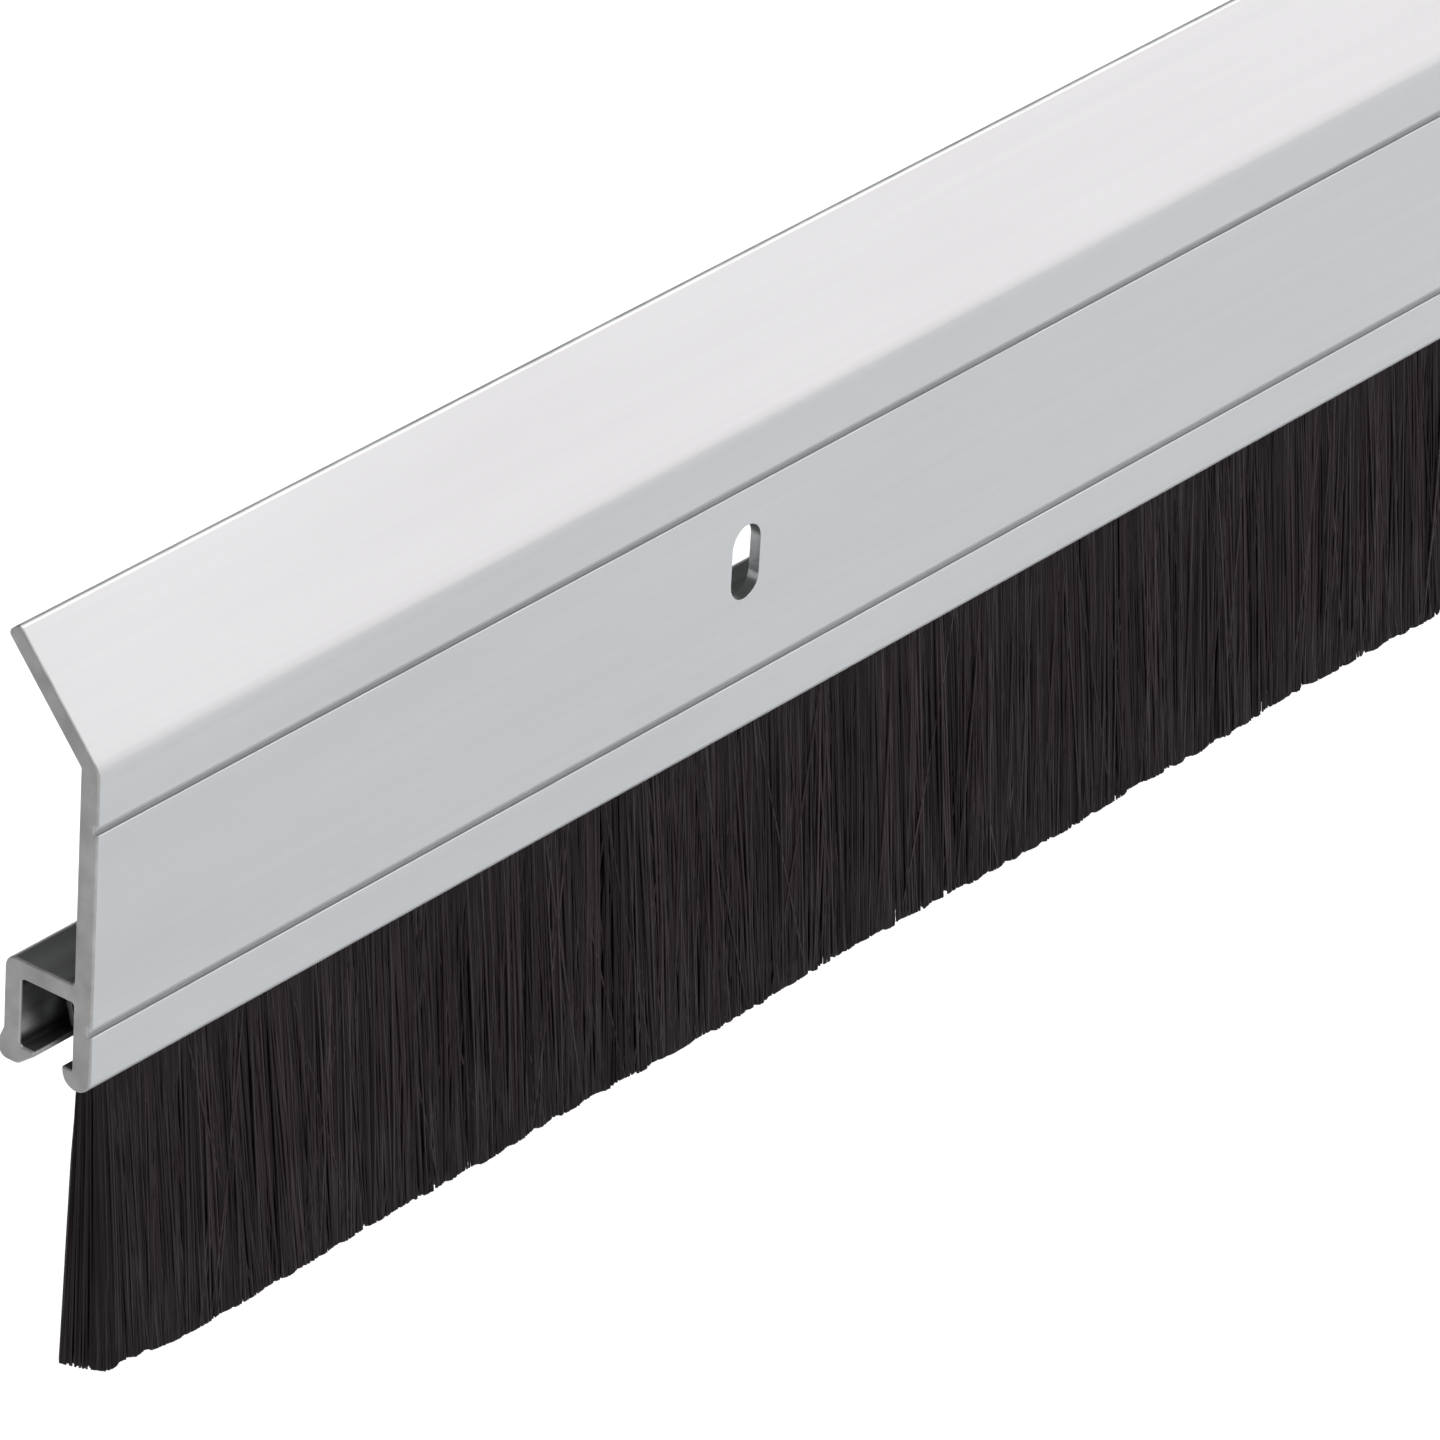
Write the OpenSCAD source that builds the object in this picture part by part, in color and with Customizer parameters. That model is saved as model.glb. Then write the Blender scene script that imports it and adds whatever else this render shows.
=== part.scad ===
// Door sweep: an aluminium extrusion that is screwed to the face of a door along its
// bottom edge, with a brush insert that slides into a channel on its back.
// X runs along the length, +Y points at the door and +Z is up. The origin is on the
// plane that touches the door, at mid-length, in the middle of the lower contact pad.

/* [Length] */
// Length of the extrusion
length = 1000; // [400:10:1200]
// Distance from each end of the extrusion to the end of the brush insert
brush_inset = 6; // [0:0.5:20]

/* [Front plate] */
// Distance from the front face to the plane that touches the door
depth = 12; // [12:0.1:16]
// Thickness of the front plate
plate_t = 2.4; // [1.6:0.1:3]
// Height at which the plate bends back into the flange
bend_z = 34.9; // [30:0.1:60]
// Radius on the outside of the bend
bend_r = 3; // [0.5:0.1:4]

/* [Top flange] */
// Angle that the flange leans back from upright
flange_lean = 41; // [35:0.5:50]
// Thickness of the flange
flange_t = 2; // [1.4:0.1:2.4]
// Radius on the two corners of the flange tip
flange_tip_r = 0.6; // [0.2:0.05:0.7]

/* [Channel] */
// Inside width of the channel
channel_w = 6.8; // [6.4:0.1:8]
// Inside height of the channel
channel_h = 7.6; // [7:0.1:9]
// Height of the channel's floor, the upper side of both lips
floor_z = 0.6; // [0.6:0.1:1.2]
// Thickness of the channel's top wall
top_t = 2.1; // [1.6:0.1:3]
// Reach of the front lip behind the plate
front_lip = 1.3; // [1:0.1:1.6]
// Reach of the back lip in front of the back wall
back_lip = 1.8; // [1.4:0.1:2]
// How far the contact pad stands proud of the back wall
pad_proud = 0.6; // [0.2:0.1:0.8]
// Height of the flat contact pad
pad_h = 1; // [0.6:0.1:1.2]

/* [Screw slots] */
// Number of screw slots
slots = 5; // [2:1:6]
// Distance from slot to slot
slot_pitch = 200; // [60:10:200]
// Width of a slot
slot_w = 4.5; // [3.5:0.1:5.5]
// Height of a slot
slot_h = 8.6; // [6:0.1:12]
// Height of the middle of the slots
slot_z = 19.2; // [17:0.1:21]
// Depth of a slot's straight part, in from the front face
slot_land = 1.35; // [1:0.05:2.2]
// Width of the chamfer round a slot's back edge
slot_flare = 1.7; // [0.2:0.1:1.8]

/* [Grooves] */
// Width of each square groove in the front face
groove_w = 1; // [0.4:0.1:1.4]
// Depth of each groove
groove_d = 0.45; // [0.2:0.05:0.7]
// Height of the lower groove
groove_low_z = 5.7; // [4:0.1:8]
// Height of the upper groove
groove_high_z = 28.4; // [26:0.1:29]

/* [Brush insert] */
// Width of the folded steel holder
holder_w = 6; // [5.6:0.1:6]
// Thickness of the holder's sheet
holder_t = 0.7; // [0.5:0.05:0.8]
// Clearance under, over and in front of the holder in the channel
clearance = 0.3; // [0.15:0.05:0.4]
// Thickness of the bristle pack where the holder pinches it
pack_t = 2.9; // [2.4:0.1:3]
// Diameter of the wire that the bristles are folded over
wire_d = 1.6; // [1:0.1:1.6]
// Height of the front bristle tips
tip_z = -38; // [-60:0.5:-20]
// How much lower the back bristle tips are
tip_drop = 2.2; // [0:0.1:3]
// Thickness of the bristle pack at its tips
tip_t = 6.6; // [4:0.1:9]
// How far the tips stand forward of the holder's middle
tip_forward = 1.5; // [0:0.1:2]

/* [Hidden] */
$fn = 64;
eps = 0.01;

front_y = -depth;
plate_back_y = front_y + plate_t;
channel_back_y = plate_back_y + channel_w;
wall_back_y = -pad_proud;
channel_top_z = floor_z + channel_h;
shelf_z = channel_top_z + top_t;

foot_r = (plate_t + front_lip) / 2;
foot_z = floor_z - 0.35;
bottom_z = foot_z - foot_r;
front_tip_y = plate_back_y + front_lip;
back_tip_y = channel_back_y - back_lip;
back_tip_h = 0.6;

wall_corner_r = 1.4;
inner_fillet_r = 0.4;
hook_r = 1.15;
pad_r = 0.8;
pad_rise = 1.4;

flange_angle = 90 - flange_lean;
flange_u = [cos(flange_angle), sin(flange_angle)];
flange_n = [sin(flange_angle), -cos(flange_angle)];
flange_len = flange_tip_r
    + (depth - flange_tip_r - flange_n[0] * (flange_t - flange_tip_r)) / flange_u[0];

insert_len = length - 2 * brush_inset;
holder_front_y = plate_back_y + clearance;
insert_y = holder_front_y + holder_w / 2;
holder_low_z = floor_z + clearance;
holder_top_z = channel_top_z - clearance;
pinch_z = holder_low_z + 0.45 * (holder_top_z - holder_low_z);
holder_corner_r = 1.2;
inside_top_z = holder_top_z - holder_t;
inside_w = holder_w - 2 * holder_t;
wire_z = inside_top_z - (inside_w - wire_d) / 2 - wire_d / 2;
flare_z = bottom_z - 0.2;

// Extrudes a section drawn as [y, z] along X, centred on the origin
module along_x(span) {
    rotate([90, 0, 90]) linear_extrude(height = span, center = true) children();
}

// The sliver between a corner and the arc of radius r that touches both its edges.
// The edges leave corner p at angles a and b. Added, it is a fillet; cut away, a round.
module corner_sliver(p, a, b, r, over = 0) {
    half = (b - a) / 2;
    mid = (a + b) / 2;
    run = r / tan(half);
    centre = p + r / sin(half) * [cos(mid), sin(mid)];
    difference() {
        polygon([
            p - over * [cos(mid), sin(mid)],
            p + run * [cos(a), sin(a)],
            centre,
            p + run * [cos(b), sin(b)]
        ]);
        translate(centre) circle(r);
    }
}

// The plate and its flange, down to the middle of the rounded foot
module plate_and_flange_section() {
    bend = [front_y, bend_z];
    tip_front = bend + flange_len * flange_u;
    tip_back = tip_front + flange_t * flange_n;
    inner_run = (plate_t - flange_t * flange_n[0]) / flange_u[0];
    inner_bend = bend + flange_t * flange_n + inner_run * flange_u;
    difference() {
        polygon([
            [front_y, foot_z], [plate_back_y, foot_z],
            inner_bend, tip_back, tip_front, bend
        ]);
        corner_sliver(bend, -90, flange_angle, bend_r, eps);
        corner_sliver(tip_front, flange_angle - 180, flange_angle - 90, flange_tip_r, eps);
        corner_sliver(tip_back, flange_angle + 90, flange_angle + 180, flange_tip_r, eps);
    }
}

// The foot of the plate: a half-round with the short front lip behind it
module foot_section() {
    translate([front_y, foot_z]) square([plate_t + front_lip, floor_z - foot_z]);
    intersection() {
        translate([front_y + foot_r, foot_z]) circle(foot_r);
        translate([front_y, foot_z - foot_r]) square([2 * foot_r, foot_r]);
    }
}

// The channel's top wall and back wall
module channel_section() {
    difference() {
        translate([plate_back_y - plate_t / 2, floor_z])
            square([wall_back_y - plate_back_y + plate_t / 2, shelf_z - floor_z]);
        translate([plate_back_y, floor_z - eps])
            square([channel_w, channel_h + eps]);
        corner_sliver([wall_back_y, shelf_z], 180, 270, wall_corner_r, eps);
    }
    corner_sliver([plate_back_y, shelf_z], 0, 90, inner_fillet_r);
    corner_sliver([plate_back_y, channel_top_z], -90, 0, inner_fillet_r);
    corner_sliver([channel_back_y, channel_top_z], -180, -90, inner_fillet_r);
}

// The hooked back lip with the contact pad that bears on the door
module back_lip_section() {
    keel_y = channel_back_y + 0.3;
    slope = atan2(floor_z - back_tip_h - bottom_z, keel_y - back_tip_y);
    difference() {
        polygon([
            [back_tip_y, floor_z], [back_tip_y, floor_z - back_tip_h],
            [keel_y, bottom_z], [0, bottom_z], [0, pad_h / 2],
            [wall_back_y, pad_h / 2 + pad_rise],
            [channel_back_y, pad_h / 2 + pad_rise], [channel_back_y, floor_z]
        ]);
        corner_sliver([0, bottom_z], 90, 180, hook_r, eps);
        corner_sliver([keel_y, bottom_z], 0, 180 - slope, hook_r, eps);
        corner_sliver([0, pad_h / 2], 90 + atan2(pad_proud, pad_rise), 270, pad_r, eps);
    }
    corner_sliver([channel_back_y, floor_z], 90, 180, inner_fillet_r);
}

module groove_section(z) {
    translate([front_y - eps, z - groove_w / 2]) square([groove_d + eps, groove_w]);
}

module profile_section() {
    difference() {
        union() {
            plate_and_flange_section();
            foot_section();
            channel_section();
            back_lip_section();
        }
        groove_section(groove_low_z);
        groove_section(groove_high_z);
    }
}

// One upright obround slot, cut right through the plate and chamfered at the back
module screw_slot(x) {
    reach = (slot_h - slot_w) / 2;
    land_y = front_y + slot_land;
    flare_d = (plate_t - slot_land) * 1.2;
    half_back = slot_w / 2 + slot_flare * 1.2;
    translate([x, 0, slot_z]) {
        translate([0, front_y + plate_t / 2, 0])
            cube([slot_w, 2 * plate_t, 2 * reach], center = true);
        linear_extrude(height = 2 * reach, center = true) polygon([
            [-slot_w / 2, land_y], [slot_w / 2, land_y],
            [half_back, land_y + flare_d], [-half_back, land_y + flare_d]
        ]);
        for (side = [-1, 1]) translate([0, front_y, side * reach]) rotate([-90, 0, 0]) {
            translate([0, 0, -plate_t / 2]) cylinder(h = 2 * plate_t, d = slot_w);
            translate([0, 0, slot_land]) cylinder(h = flare_d, r1 = slot_w / 2, r2 = half_back);
        }
    }
}

module profile() {
    color([0.78, 0.79, 0.8]) difference() {
        along_x(length) profile_section();
        for (i = [0 : slots - 1]) screw_slot((i - (slots - 1) / 2) * slot_pitch);
    }
}

// Outline of the holder's folded sheet, drawn at a distance in from its outer face
module holder_outline(inset) {
    half_top = holder_w / 2 - inset;
    half_low = pack_t / 2 + holder_t - inset;
    top = holder_top_z - inset;
    r = max(holder_corner_r - inset, 0.3);
    translate([insert_y, 0]) difference() {
        polygon([
            [-half_low, holder_low_z], [half_low, holder_low_z], [half_top, pinch_z],
            [half_top, top], [-half_top, top], [-half_top, pinch_z]
        ]);
        corner_sliver([half_top, top], 180, 270, r, eps);
        corner_sliver([-half_top, top], 270, 360, r, eps);
    }
}

module brush_holder() {
    color([0.42, 0.43, 0.44]) along_x(insert_len) difference() {
        holder_outline(0);
        holder_outline(holder_t);
        translate([insert_y - pack_t / 2, holder_low_z - 1]) square([pack_t, 1 + eps]);
    }
}

module core_wire() {
    color([0.55, 0.56, 0.57]) translate([0, insert_y, wire_z]) rotate([0, 90, 0])
        cylinder(h = insert_len, d = wire_d, center = true);
}

// The bristles as one plain block: folded over the wire, pinched, then fanned out
module bristles() {
    half_root = pack_t / 2;
    tip_y = insert_y - tip_forward;
    color([0.09, 0.08, 0.085]) along_x(insert_len) difference() {
        union() {
            holder_outline(holder_t);
            polygon([
                [insert_y - half_root, holder_low_z], [insert_y - half_root, flare_z],
                [tip_y - tip_t / 2, tip_z], [tip_y + tip_t / 2, tip_z - tip_drop],
                [insert_y + half_root, flare_z], [insert_y + half_root, holder_low_z]
            ]);
        }
        translate([insert_y, wire_z]) circle(d = wire_d);
    }
}

profile();
brush_holder();
core_wire();
bristles();
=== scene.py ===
import math

import bmesh
import bpy
import numpy as np
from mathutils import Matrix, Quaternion, Vector


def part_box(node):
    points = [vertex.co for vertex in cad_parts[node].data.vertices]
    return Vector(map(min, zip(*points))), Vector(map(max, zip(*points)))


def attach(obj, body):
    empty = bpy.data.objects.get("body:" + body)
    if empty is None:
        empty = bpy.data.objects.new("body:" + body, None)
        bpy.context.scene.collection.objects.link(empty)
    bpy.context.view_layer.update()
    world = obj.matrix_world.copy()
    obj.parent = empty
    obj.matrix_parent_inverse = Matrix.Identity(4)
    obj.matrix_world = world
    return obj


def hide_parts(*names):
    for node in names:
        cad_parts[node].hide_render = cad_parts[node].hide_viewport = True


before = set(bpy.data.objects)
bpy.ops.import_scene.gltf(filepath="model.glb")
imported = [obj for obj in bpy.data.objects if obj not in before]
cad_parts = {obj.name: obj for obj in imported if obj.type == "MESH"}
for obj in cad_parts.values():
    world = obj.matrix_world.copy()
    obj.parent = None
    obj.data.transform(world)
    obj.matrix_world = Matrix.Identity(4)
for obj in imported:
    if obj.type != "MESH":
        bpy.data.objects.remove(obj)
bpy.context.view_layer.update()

MM = 0.001
SEED = 17

# ---------------------------------------------------------------- sizes
# Lengths in metres, in the row frame: +X along the strip, +Y at the door, +Z up.
profile_low, profile_high = (Vector(c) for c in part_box("profile"))
holder_low, holder_high = (Vector(c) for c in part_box("brush_holder"))
wire_low, wire_high = (Vector(c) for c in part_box("core_wire"))
brush_low = Vector(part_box("bristles")[0])

half_length = (profile_high.x - profile_low.x) / 2
front_y = profile_low.y
bottom_z = profile_low.z

# The front plate and the flange that leans back from its top.
PLATE_T = 2.4 * MM
BEND_Z = 34.9 * MM
BEND_R = 3.0 * MM
FLANGE_LEAN = math.radians(41)
FLANGE_T = 2.0 * MM
FLANGE_TIP_R = 0.6 * MM

# The channel behind the plate, its two lips and the pad that meets the door.
CHANNEL_W = 6.8 * MM
CHANNEL_H = 7.6 * MM
LIP_TOP_Z = 0.6 * MM
TOP_T = 2.1 * MM
FRONT_LIP = 1.3 * MM
BACK_LIP = 1.8 * MM
BACK_TIP_H = 0.6 * MM
HOOK_START = 0.3 * MM
HOOK_R = 1.15 * MM
PAD_PROUD = 0.6 * MM
PAD_H = 1.0 * MM
PAD_RISE = 1.4 * MM
PAD_R = 0.8 * MM
WALL_CORNER_R = 1.4 * MM
FILLET_R = 0.4 * MM
EDGE_R = 0.1 * MM

# The screw slots, and the flat stretches of the section that they are let into.
SLOT_COUNT = 5
SLOT_W = 4.5 * MM
SLOT_H = 8.6 * MM
SLOT_Z = 19.2 * MM
SLOT_LAND = 1.35 * MM
SLOT_FLARE = 1.7 * MM
SLOT_ROUND = 0.05 * MM
SLOT_ARC_STEPS = 12
BAND_MARGIN = 0.4 * MM
PATCH_MARGIN = 1.0 * MM

# The two grooves along the front face.
GROOVE_W = 1.0 * MM
GROOVE_D = 0.45 * MM
GROOVE_HEIGHTS = (28.4 * MM, 5.7 * MM)
GROOVE_EDGE_R = 0.05 * MM

# Edges: outer corners tighter than the last radius below are lightened as wear and as a painted highlight,
# and cut ends a little.
END_ROUND = 0.25 * MM
END_STEPS = 4
END_WEAR_HIGHLIGHT = 0.3
WEAR_HIGHLIGHT_R = 1.0 * MM
ARC_STEP = math.radians(10)
SHARP_ANGLE = math.radians(32)

# Distances too small to count: between a cap's points, in a weld, across a sliver and in a comparison.
CAP_GAP = 1e-6
WELD_GAP = 0.5e-6
SLIVER = 0.2e-6
CLOSE = 1e-7

plate_back_y = front_y + PLATE_T
channel_back_y = plate_back_y + CHANNEL_W
wall_back_y = -PAD_PROUD
channel_top_z = LIP_TOP_Z + CHANNEL_H
shelf_z = channel_top_z + TOP_T
front_tip_y = plate_back_y + FRONT_LIP
back_tip_y = channel_back_y - BACK_LIP
hook_y = channel_back_y + HOOK_START
foot_r = (PLATE_T + FRONT_LIP) / 2
slot_pitch = 2 * half_length / SLOT_COUNT
band_half = SLOT_H / 2 + SLOT_FLARE + BAND_MARGIN
patch_half = SLOT_W / 2 + SLOT_FLARE + PATCH_MARGIN

# The brush insert: a holder folded from sheet round the bristles, which are folded over a wire.
HOLDER_T = 0.7 * MM
HOLDER_CORNER_R = 1.2 * MM
HOLDER_BEND_R = 0.8 * MM
HOLDER_END_ROUND = 0.1 * MM
WIRE_END_ROUND = 0.2 * MM
WIRE_SIDES = 24
PINCH_SHARE = 0.45
PACK_T = 2.9 * MM
ROOT_RISE = 1.5 * MM
FLARE_GAP = 0.2 * MM
TIP_T = 6.6 * MM
TIP_DROP = 2.2 * MM

insert_half = (holder_high.x - holder_low.x) / 2
insert_y = (holder_low.y + holder_high.y) / 2
holder_half = (holder_high.y - holder_low.y) / 2
root_z = holder_low.z + ROOT_RISE
flare_z = bottom_z - FLARE_GAP
tip_y = brush_low.y + TIP_T / 2
tip_z = brush_low.z + TIP_DROP
wire_r = (wire_high.z - wire_low.z) / 2
wire_z = (wire_high.z + wire_low.z) / 2


# ---------------------------------------------------------------- outlines
def rounded(corners, inset=0.0):
    """The closed outline through corners (y, z, radius), moved in by inset and with each corner rounded.

    The material is on the left of the path. Every corner gives the same number of points for any inset,
    so that outlines with different insets can be joined point to point. Each point is (y, z, wear):
    wear is 1 on the crown of a tightly rounded outer corner and 0 elsewhere, and lightens the colour
    there as wear and as a painted highlight. A radius of 0 leaves a plain corner point."""
    points = [Vector((y, z)) for y, z, _ in corners]
    count = len(points)
    ways = [(points[(i + 1) % count] - points[i]).normalized() for i in range(count)]
    outline = []
    for i, (_, _, radius) in enumerate(corners):
        into, out = ways[i - 1], ways[i]
        turn = math.atan2(into.x * out.y - into.y * out.x, into.dot(out))
        left_in, left_out = Vector((-into.y, into.x)), Vector((-out.y, out.x))
        corner = points[i] + inset * (left_in + left_out) / (1 + left_in.dot(left_out))
        if radius == 0:
            outline.append(Vector((corner.x, corner.y, 0)))
            continue
        arc_r = max(radius - math.copysign(inset, turn), 0.0)
        steps = max(1, round(abs(turn) / ARC_STEP))
        start = corner - arc_r * math.tan(abs(turn) / 2) * into
        arm = -math.copysign(1.0, turn) * arc_r * left_in
        centre = start - arm
        wear_highlight = turn > 0 and radius < WEAR_HIGHLIGHT_R
        for k in range(steps + 1):
            angle = turn * k / steps
            outline.append(Vector((
                centre.x + arm.x * math.cos(angle) - arm.y * math.sin(angle),
                centre.y + arm.x * math.sin(angle) + arm.y * math.cos(angle),
                math.sin(math.pi * k / steps) if wear_highlight else 0.0,
            )))
    return outline


def groove_corners(z):
    """A square groove in the front face, on the way down it."""
    top, low, deep = z + GROOVE_W / 2, z - GROOVE_W / 2, front_y + GROOVE_D
    return [
        (front_y, top, GROOVE_EDGE_R),
        (deep, top, GROOVE_EDGE_R),
        (deep, low, GROOVE_EDGE_R),
        (front_y, low, GROOVE_EDGE_R),
    ]


def profile_corners():
    """The extrusion's section. The slot band's edges are plain points, so that the slots can be let in."""
    along = Vector((math.sin(FLANGE_LEAN), math.cos(FLANGE_LEAN)))
    across = Vector((along.y, -along.x))
    bend = Vector((front_y, BEND_Z))
    reach = FLANGE_TIP_R + (-front_y - FLANGE_TIP_R - across.x * (FLANGE_T - FLANGE_TIP_R)) / along.x
    tip_front = bend + reach * along
    tip_back = tip_front + FLANGE_T * across
    inner_bend = bend + FLANGE_T * across + (PLATE_T - FLANGE_T * across.x) / along.x * along
    return [
        (front_y, bottom_z, foot_r),
        (front_tip_y, bottom_z, foot_r),
        (front_tip_y, LIP_TOP_Z, EDGE_R),
        (plate_back_y, LIP_TOP_Z, EDGE_R),
        (plate_back_y, channel_top_z, FILLET_R),
        (channel_back_y, channel_top_z, FILLET_R),
        (channel_back_y, LIP_TOP_Z, FILLET_R),
        (back_tip_y, LIP_TOP_Z, EDGE_R),
        (back_tip_y, LIP_TOP_Z - BACK_TIP_H, EDGE_R),
        (hook_y, bottom_z, HOOK_R),
        (0.0, bottom_z, HOOK_R),
        (0.0, PAD_H / 2, PAD_R),
        (wall_back_y, PAD_H / 2 + PAD_RISE, PAD_R),
        (wall_back_y, shelf_z, WALL_CORNER_R),
        (plate_back_y, shelf_z, FILLET_R),
        (plate_back_y, SLOT_Z - band_half, 0),
        (plate_back_y, SLOT_Z + band_half, 0),
        (inner_bend.x, inner_bend.y, FILLET_R),
        (tip_back.x, tip_back.y, FLANGE_TIP_R),
        (tip_front.x, tip_front.y, FLANGE_TIP_R),
        (front_y, BEND_Z, BEND_R),
        *groove_corners(GROOVE_HEIGHTS[0]),
        (front_y, SLOT_Z + band_half, 0),
        (front_y, SLOT_Z - band_half, 0),
        *groove_corners(GROOVE_HEIGHTS[1]),
    ]


def holder_corners():
    """The holder's section: a sheet folded down both sides, whose legs are pinched in on the bristles."""
    top, low = holder_high.z, holder_low.z
    pinch_z = low + PINCH_SHARE * (top - low)
    mouth = PACK_T / 2
    inner = holder_half - HOLDER_T
    lean = (inner - mouth) / (pinch_z - low)
    skew = (math.hypot(1, lean) - 1) / lean * HOLDER_T
    return [
        (insert_y + mouth, low, EDGE_R),
        (insert_y + mouth + HOLDER_T, low, EDGE_R),
        (insert_y + holder_half, pinch_z, HOLDER_BEND_R),
        (insert_y + holder_half, top, HOLDER_CORNER_R),
        (insert_y - holder_half, top, HOLDER_CORNER_R),
        (insert_y - holder_half, pinch_z, HOLDER_BEND_R),
        (insert_y - mouth - HOLDER_T, low, EDGE_R),
        (insert_y - mouth, low, EDGE_R),
        (insert_y - inner, pinch_z + skew, EDGE_R),
        (insert_y - inner, top - HOLDER_T, HOLDER_CORNER_R - HOLDER_T),
        (insert_y + inner, top - HOLDER_T, HOLDER_CORNER_R - HOLDER_T),
        (insert_y + inner, pinch_z + skew, EDGE_R),
    ]


# ---------------------------------------------------------------- mesh helpers
def stations(half, radius, steps, middle=()):
    """(x, inset, wear) of each ring along a strip from -half to half, whose end edges are rounded.

    middle holds more rings between the two ends. Wear lightens the colour, as wear and as a painted
    highlight; a wear of None stands for the outline's own."""
    near = []
    for k in range(steps + 1):
        angle = math.pi / 2 * k / steps
        wear_highlight = END_WEAR_HIGHLIGHT * math.sin(2 * angle) if k < steps else None
        near.append((-half + radius * (1 - math.cos(angle)), radius * (1 - math.sin(angle)), wear_highlight))
    far = [(-x, inset, wear_highlight) for x, inset, wear_highlight in reversed(near)]
    return near + list(middle) + far


def add_ring(bm, x, outline, wear_highlight):
    """The outline as vertices at x. The last argument is their wear and painted highlight, or None for the
    outline's own.
    """
    layer = bm.verts.layers.float.get("wear_and_highlight") or bm.verts.layers.float.new("wear_and_highlight")
    ring = []
    for p in outline:
        vert = bm.verts.new((x, p.x, p.y))
        vert[layer] = p.z if wear_highlight is None else wear_highlight
        ring.append(vert)
    return ring


def bridge(bm, ring_a, ring_b, skip=()):
    """Quads between two closed rings, apart from the sides in skip."""
    count = len(ring_a)
    for i in range(count):
        if i not in skip:
            j = (i + 1) % count
            bm.faces.new((ring_a[i], ring_a[j], ring_b[j], ring_b[i]))


def add_caps(bm, rings):
    """Flat faces on the first and last ring, whose tightest corners may have closed up to single points."""
    for ring in (rings[0], rings[-1]):
        pairs = zip(ring, ring[-1:] + ring[:-1])
        cap = bm.faces.new([v for v, before in pairs if (v.co - before.co).length > CAP_GAP])
        cap.normal_update()
        bmesh.ops.triangulate(bm, faces=[cap])


def join_rings(bm, rings):
    """A closed solid through all rings in order."""
    for a, b in zip(rings, rings[1:]):
        bridge(bm, a, b)
    add_caps(bm, rings)


def add_object(name, data):
    """An object in the scene that holds a mesh, a light or a camera."""
    obj = bpy.data.objects.new(name, data)
    bpy.context.scene.collection.objects.link(obj)
    return obj


def finish_mesh(bm, name, materials):
    """Cleans bm up and makes it an object that is smooth except over its sharp edges."""
    bmesh.ops.remove_doubles(bm, verts=bm.verts, dist=WELD_GAP)
    bmesh.ops.dissolve_degenerate(bm, edges=bm.edges, dist=SLIVER)
    bmesh.ops.recalc_face_normals(bm, faces=bm.faces)
    mesh = bpy.data.meshes.new(name)
    bm.to_mesh(mesh)
    bm.free()
    for material in materials:
        mesh.materials.append(material)
    mesh.shade_smooth()
    mesh.set_sharp_from_angle(angle=SHARP_ANGLE)
    obj = add_object(name, mesh)
    weighted = obj.modifiers.new("even_faces", "WEIGHTED_NORMAL")
    weighted.keep_sharp = True
    return obj


def obround(width, height, centre_x, centre_z):
    """Points (x, z) round an upright slot."""
    r = width / 2
    reach = (height - width) / 2
    points = []
    for k in range(2 * SLOT_ARC_STEPS + 2):
        upper = k <= SLOT_ARC_STEPS
        angle = math.pi * (k if upper else k - 1) / SLOT_ARC_STEPS
        z = centre_z + (reach if upper else -reach) + r * math.sin(angle)
        points.append((centre_x + r * math.cos(angle), z))
    return points


def slot_rings(bm, x):
    """The slot's walls at x as rings from the front face to the back face. Returns the first and last."""
    levels = []
    for k in range(END_STEPS + 1):
        angle = math.pi / 2 * k / END_STEPS
        grow = SLOT_ROUND * (1 - math.sin(angle))
        levels.append((front_y + SLOT_ROUND * (1 - math.cos(angle)), grow))
    levels.append((front_y + SLOT_LAND, 0.0))
    levels.append((plate_back_y, SLOT_FLARE))
    rings = []
    for y, grow in levels:
        outline = obround(SLOT_W + 2 * grow, SLOT_H + 2 * grow, x, SLOT_Z)
        rings.append([bm.verts.new((px, y, pz)) for px, pz in outline])
    for a, b in zip(rings, rings[1:]):
        bridge(bm, a, b)
    return rings[0], rings[-1]


def fill_round(bm, corners, ring):
    """Fills the flat face between the rectangle of four vertices and the ring inside it."""
    edges = []
    for loop in (corners, ring):
        for a, b in zip(loop, loop[1:] + loop[:1]):
            edges.append(bm.edges.get((a, b)) or bm.edges.new((a, b)))
    bmesh.ops.triangle_fill(bm, use_beauty=True, use_dissolve=False, edges=edges)


def let_in_slot(bm, ring_a, ring_b, sides, x):
    """A slot at x between two rings. sides are the front and back sides left open between them."""
    for side, slot_edge in zip(sides, slot_rings(bm, x)):
        after = (side + 1) % len(ring_a)
        fill_round(bm, [ring_a[side], ring_a[after], ring_b[after], ring_b[side]], slot_edge)


# ---------------------------------------------------------------- materials
def new_material(name):
    """A material with its node tree and its Principled shader."""
    material = bpy.data.materials.new(name)
    material.use_nodes = True
    tree = material.node_tree
    return material, tree, tree.nodes["Principled BSDF"]


def rgba(colour):
    """A colour, or a grey given as one number, with an alpha of 1."""
    return (*colour, 1) if hasattr(colour, "__len__") else (colour, colour, colour, 1)


def feed(tree, value, socket):
    """Gives a socket a plain value or another socket's output."""
    if isinstance(value, bpy.types.NodeSocket):
        tree.links.new(value, socket)
    else:
        socket.default_value = value


def stretched(tree, scale):
    """Object coordinates times scale, for a grain that runs one way."""
    coords = tree.nodes.new("ShaderNodeTexCoord")
    mapping = tree.nodes.new("ShaderNodeMapping")
    mapping.inputs["Scale"].default_value = scale
    tree.links.new(coords.outputs["Object"], mapping.inputs["Vector"])
    return mapping.outputs["Vector"]


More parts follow.
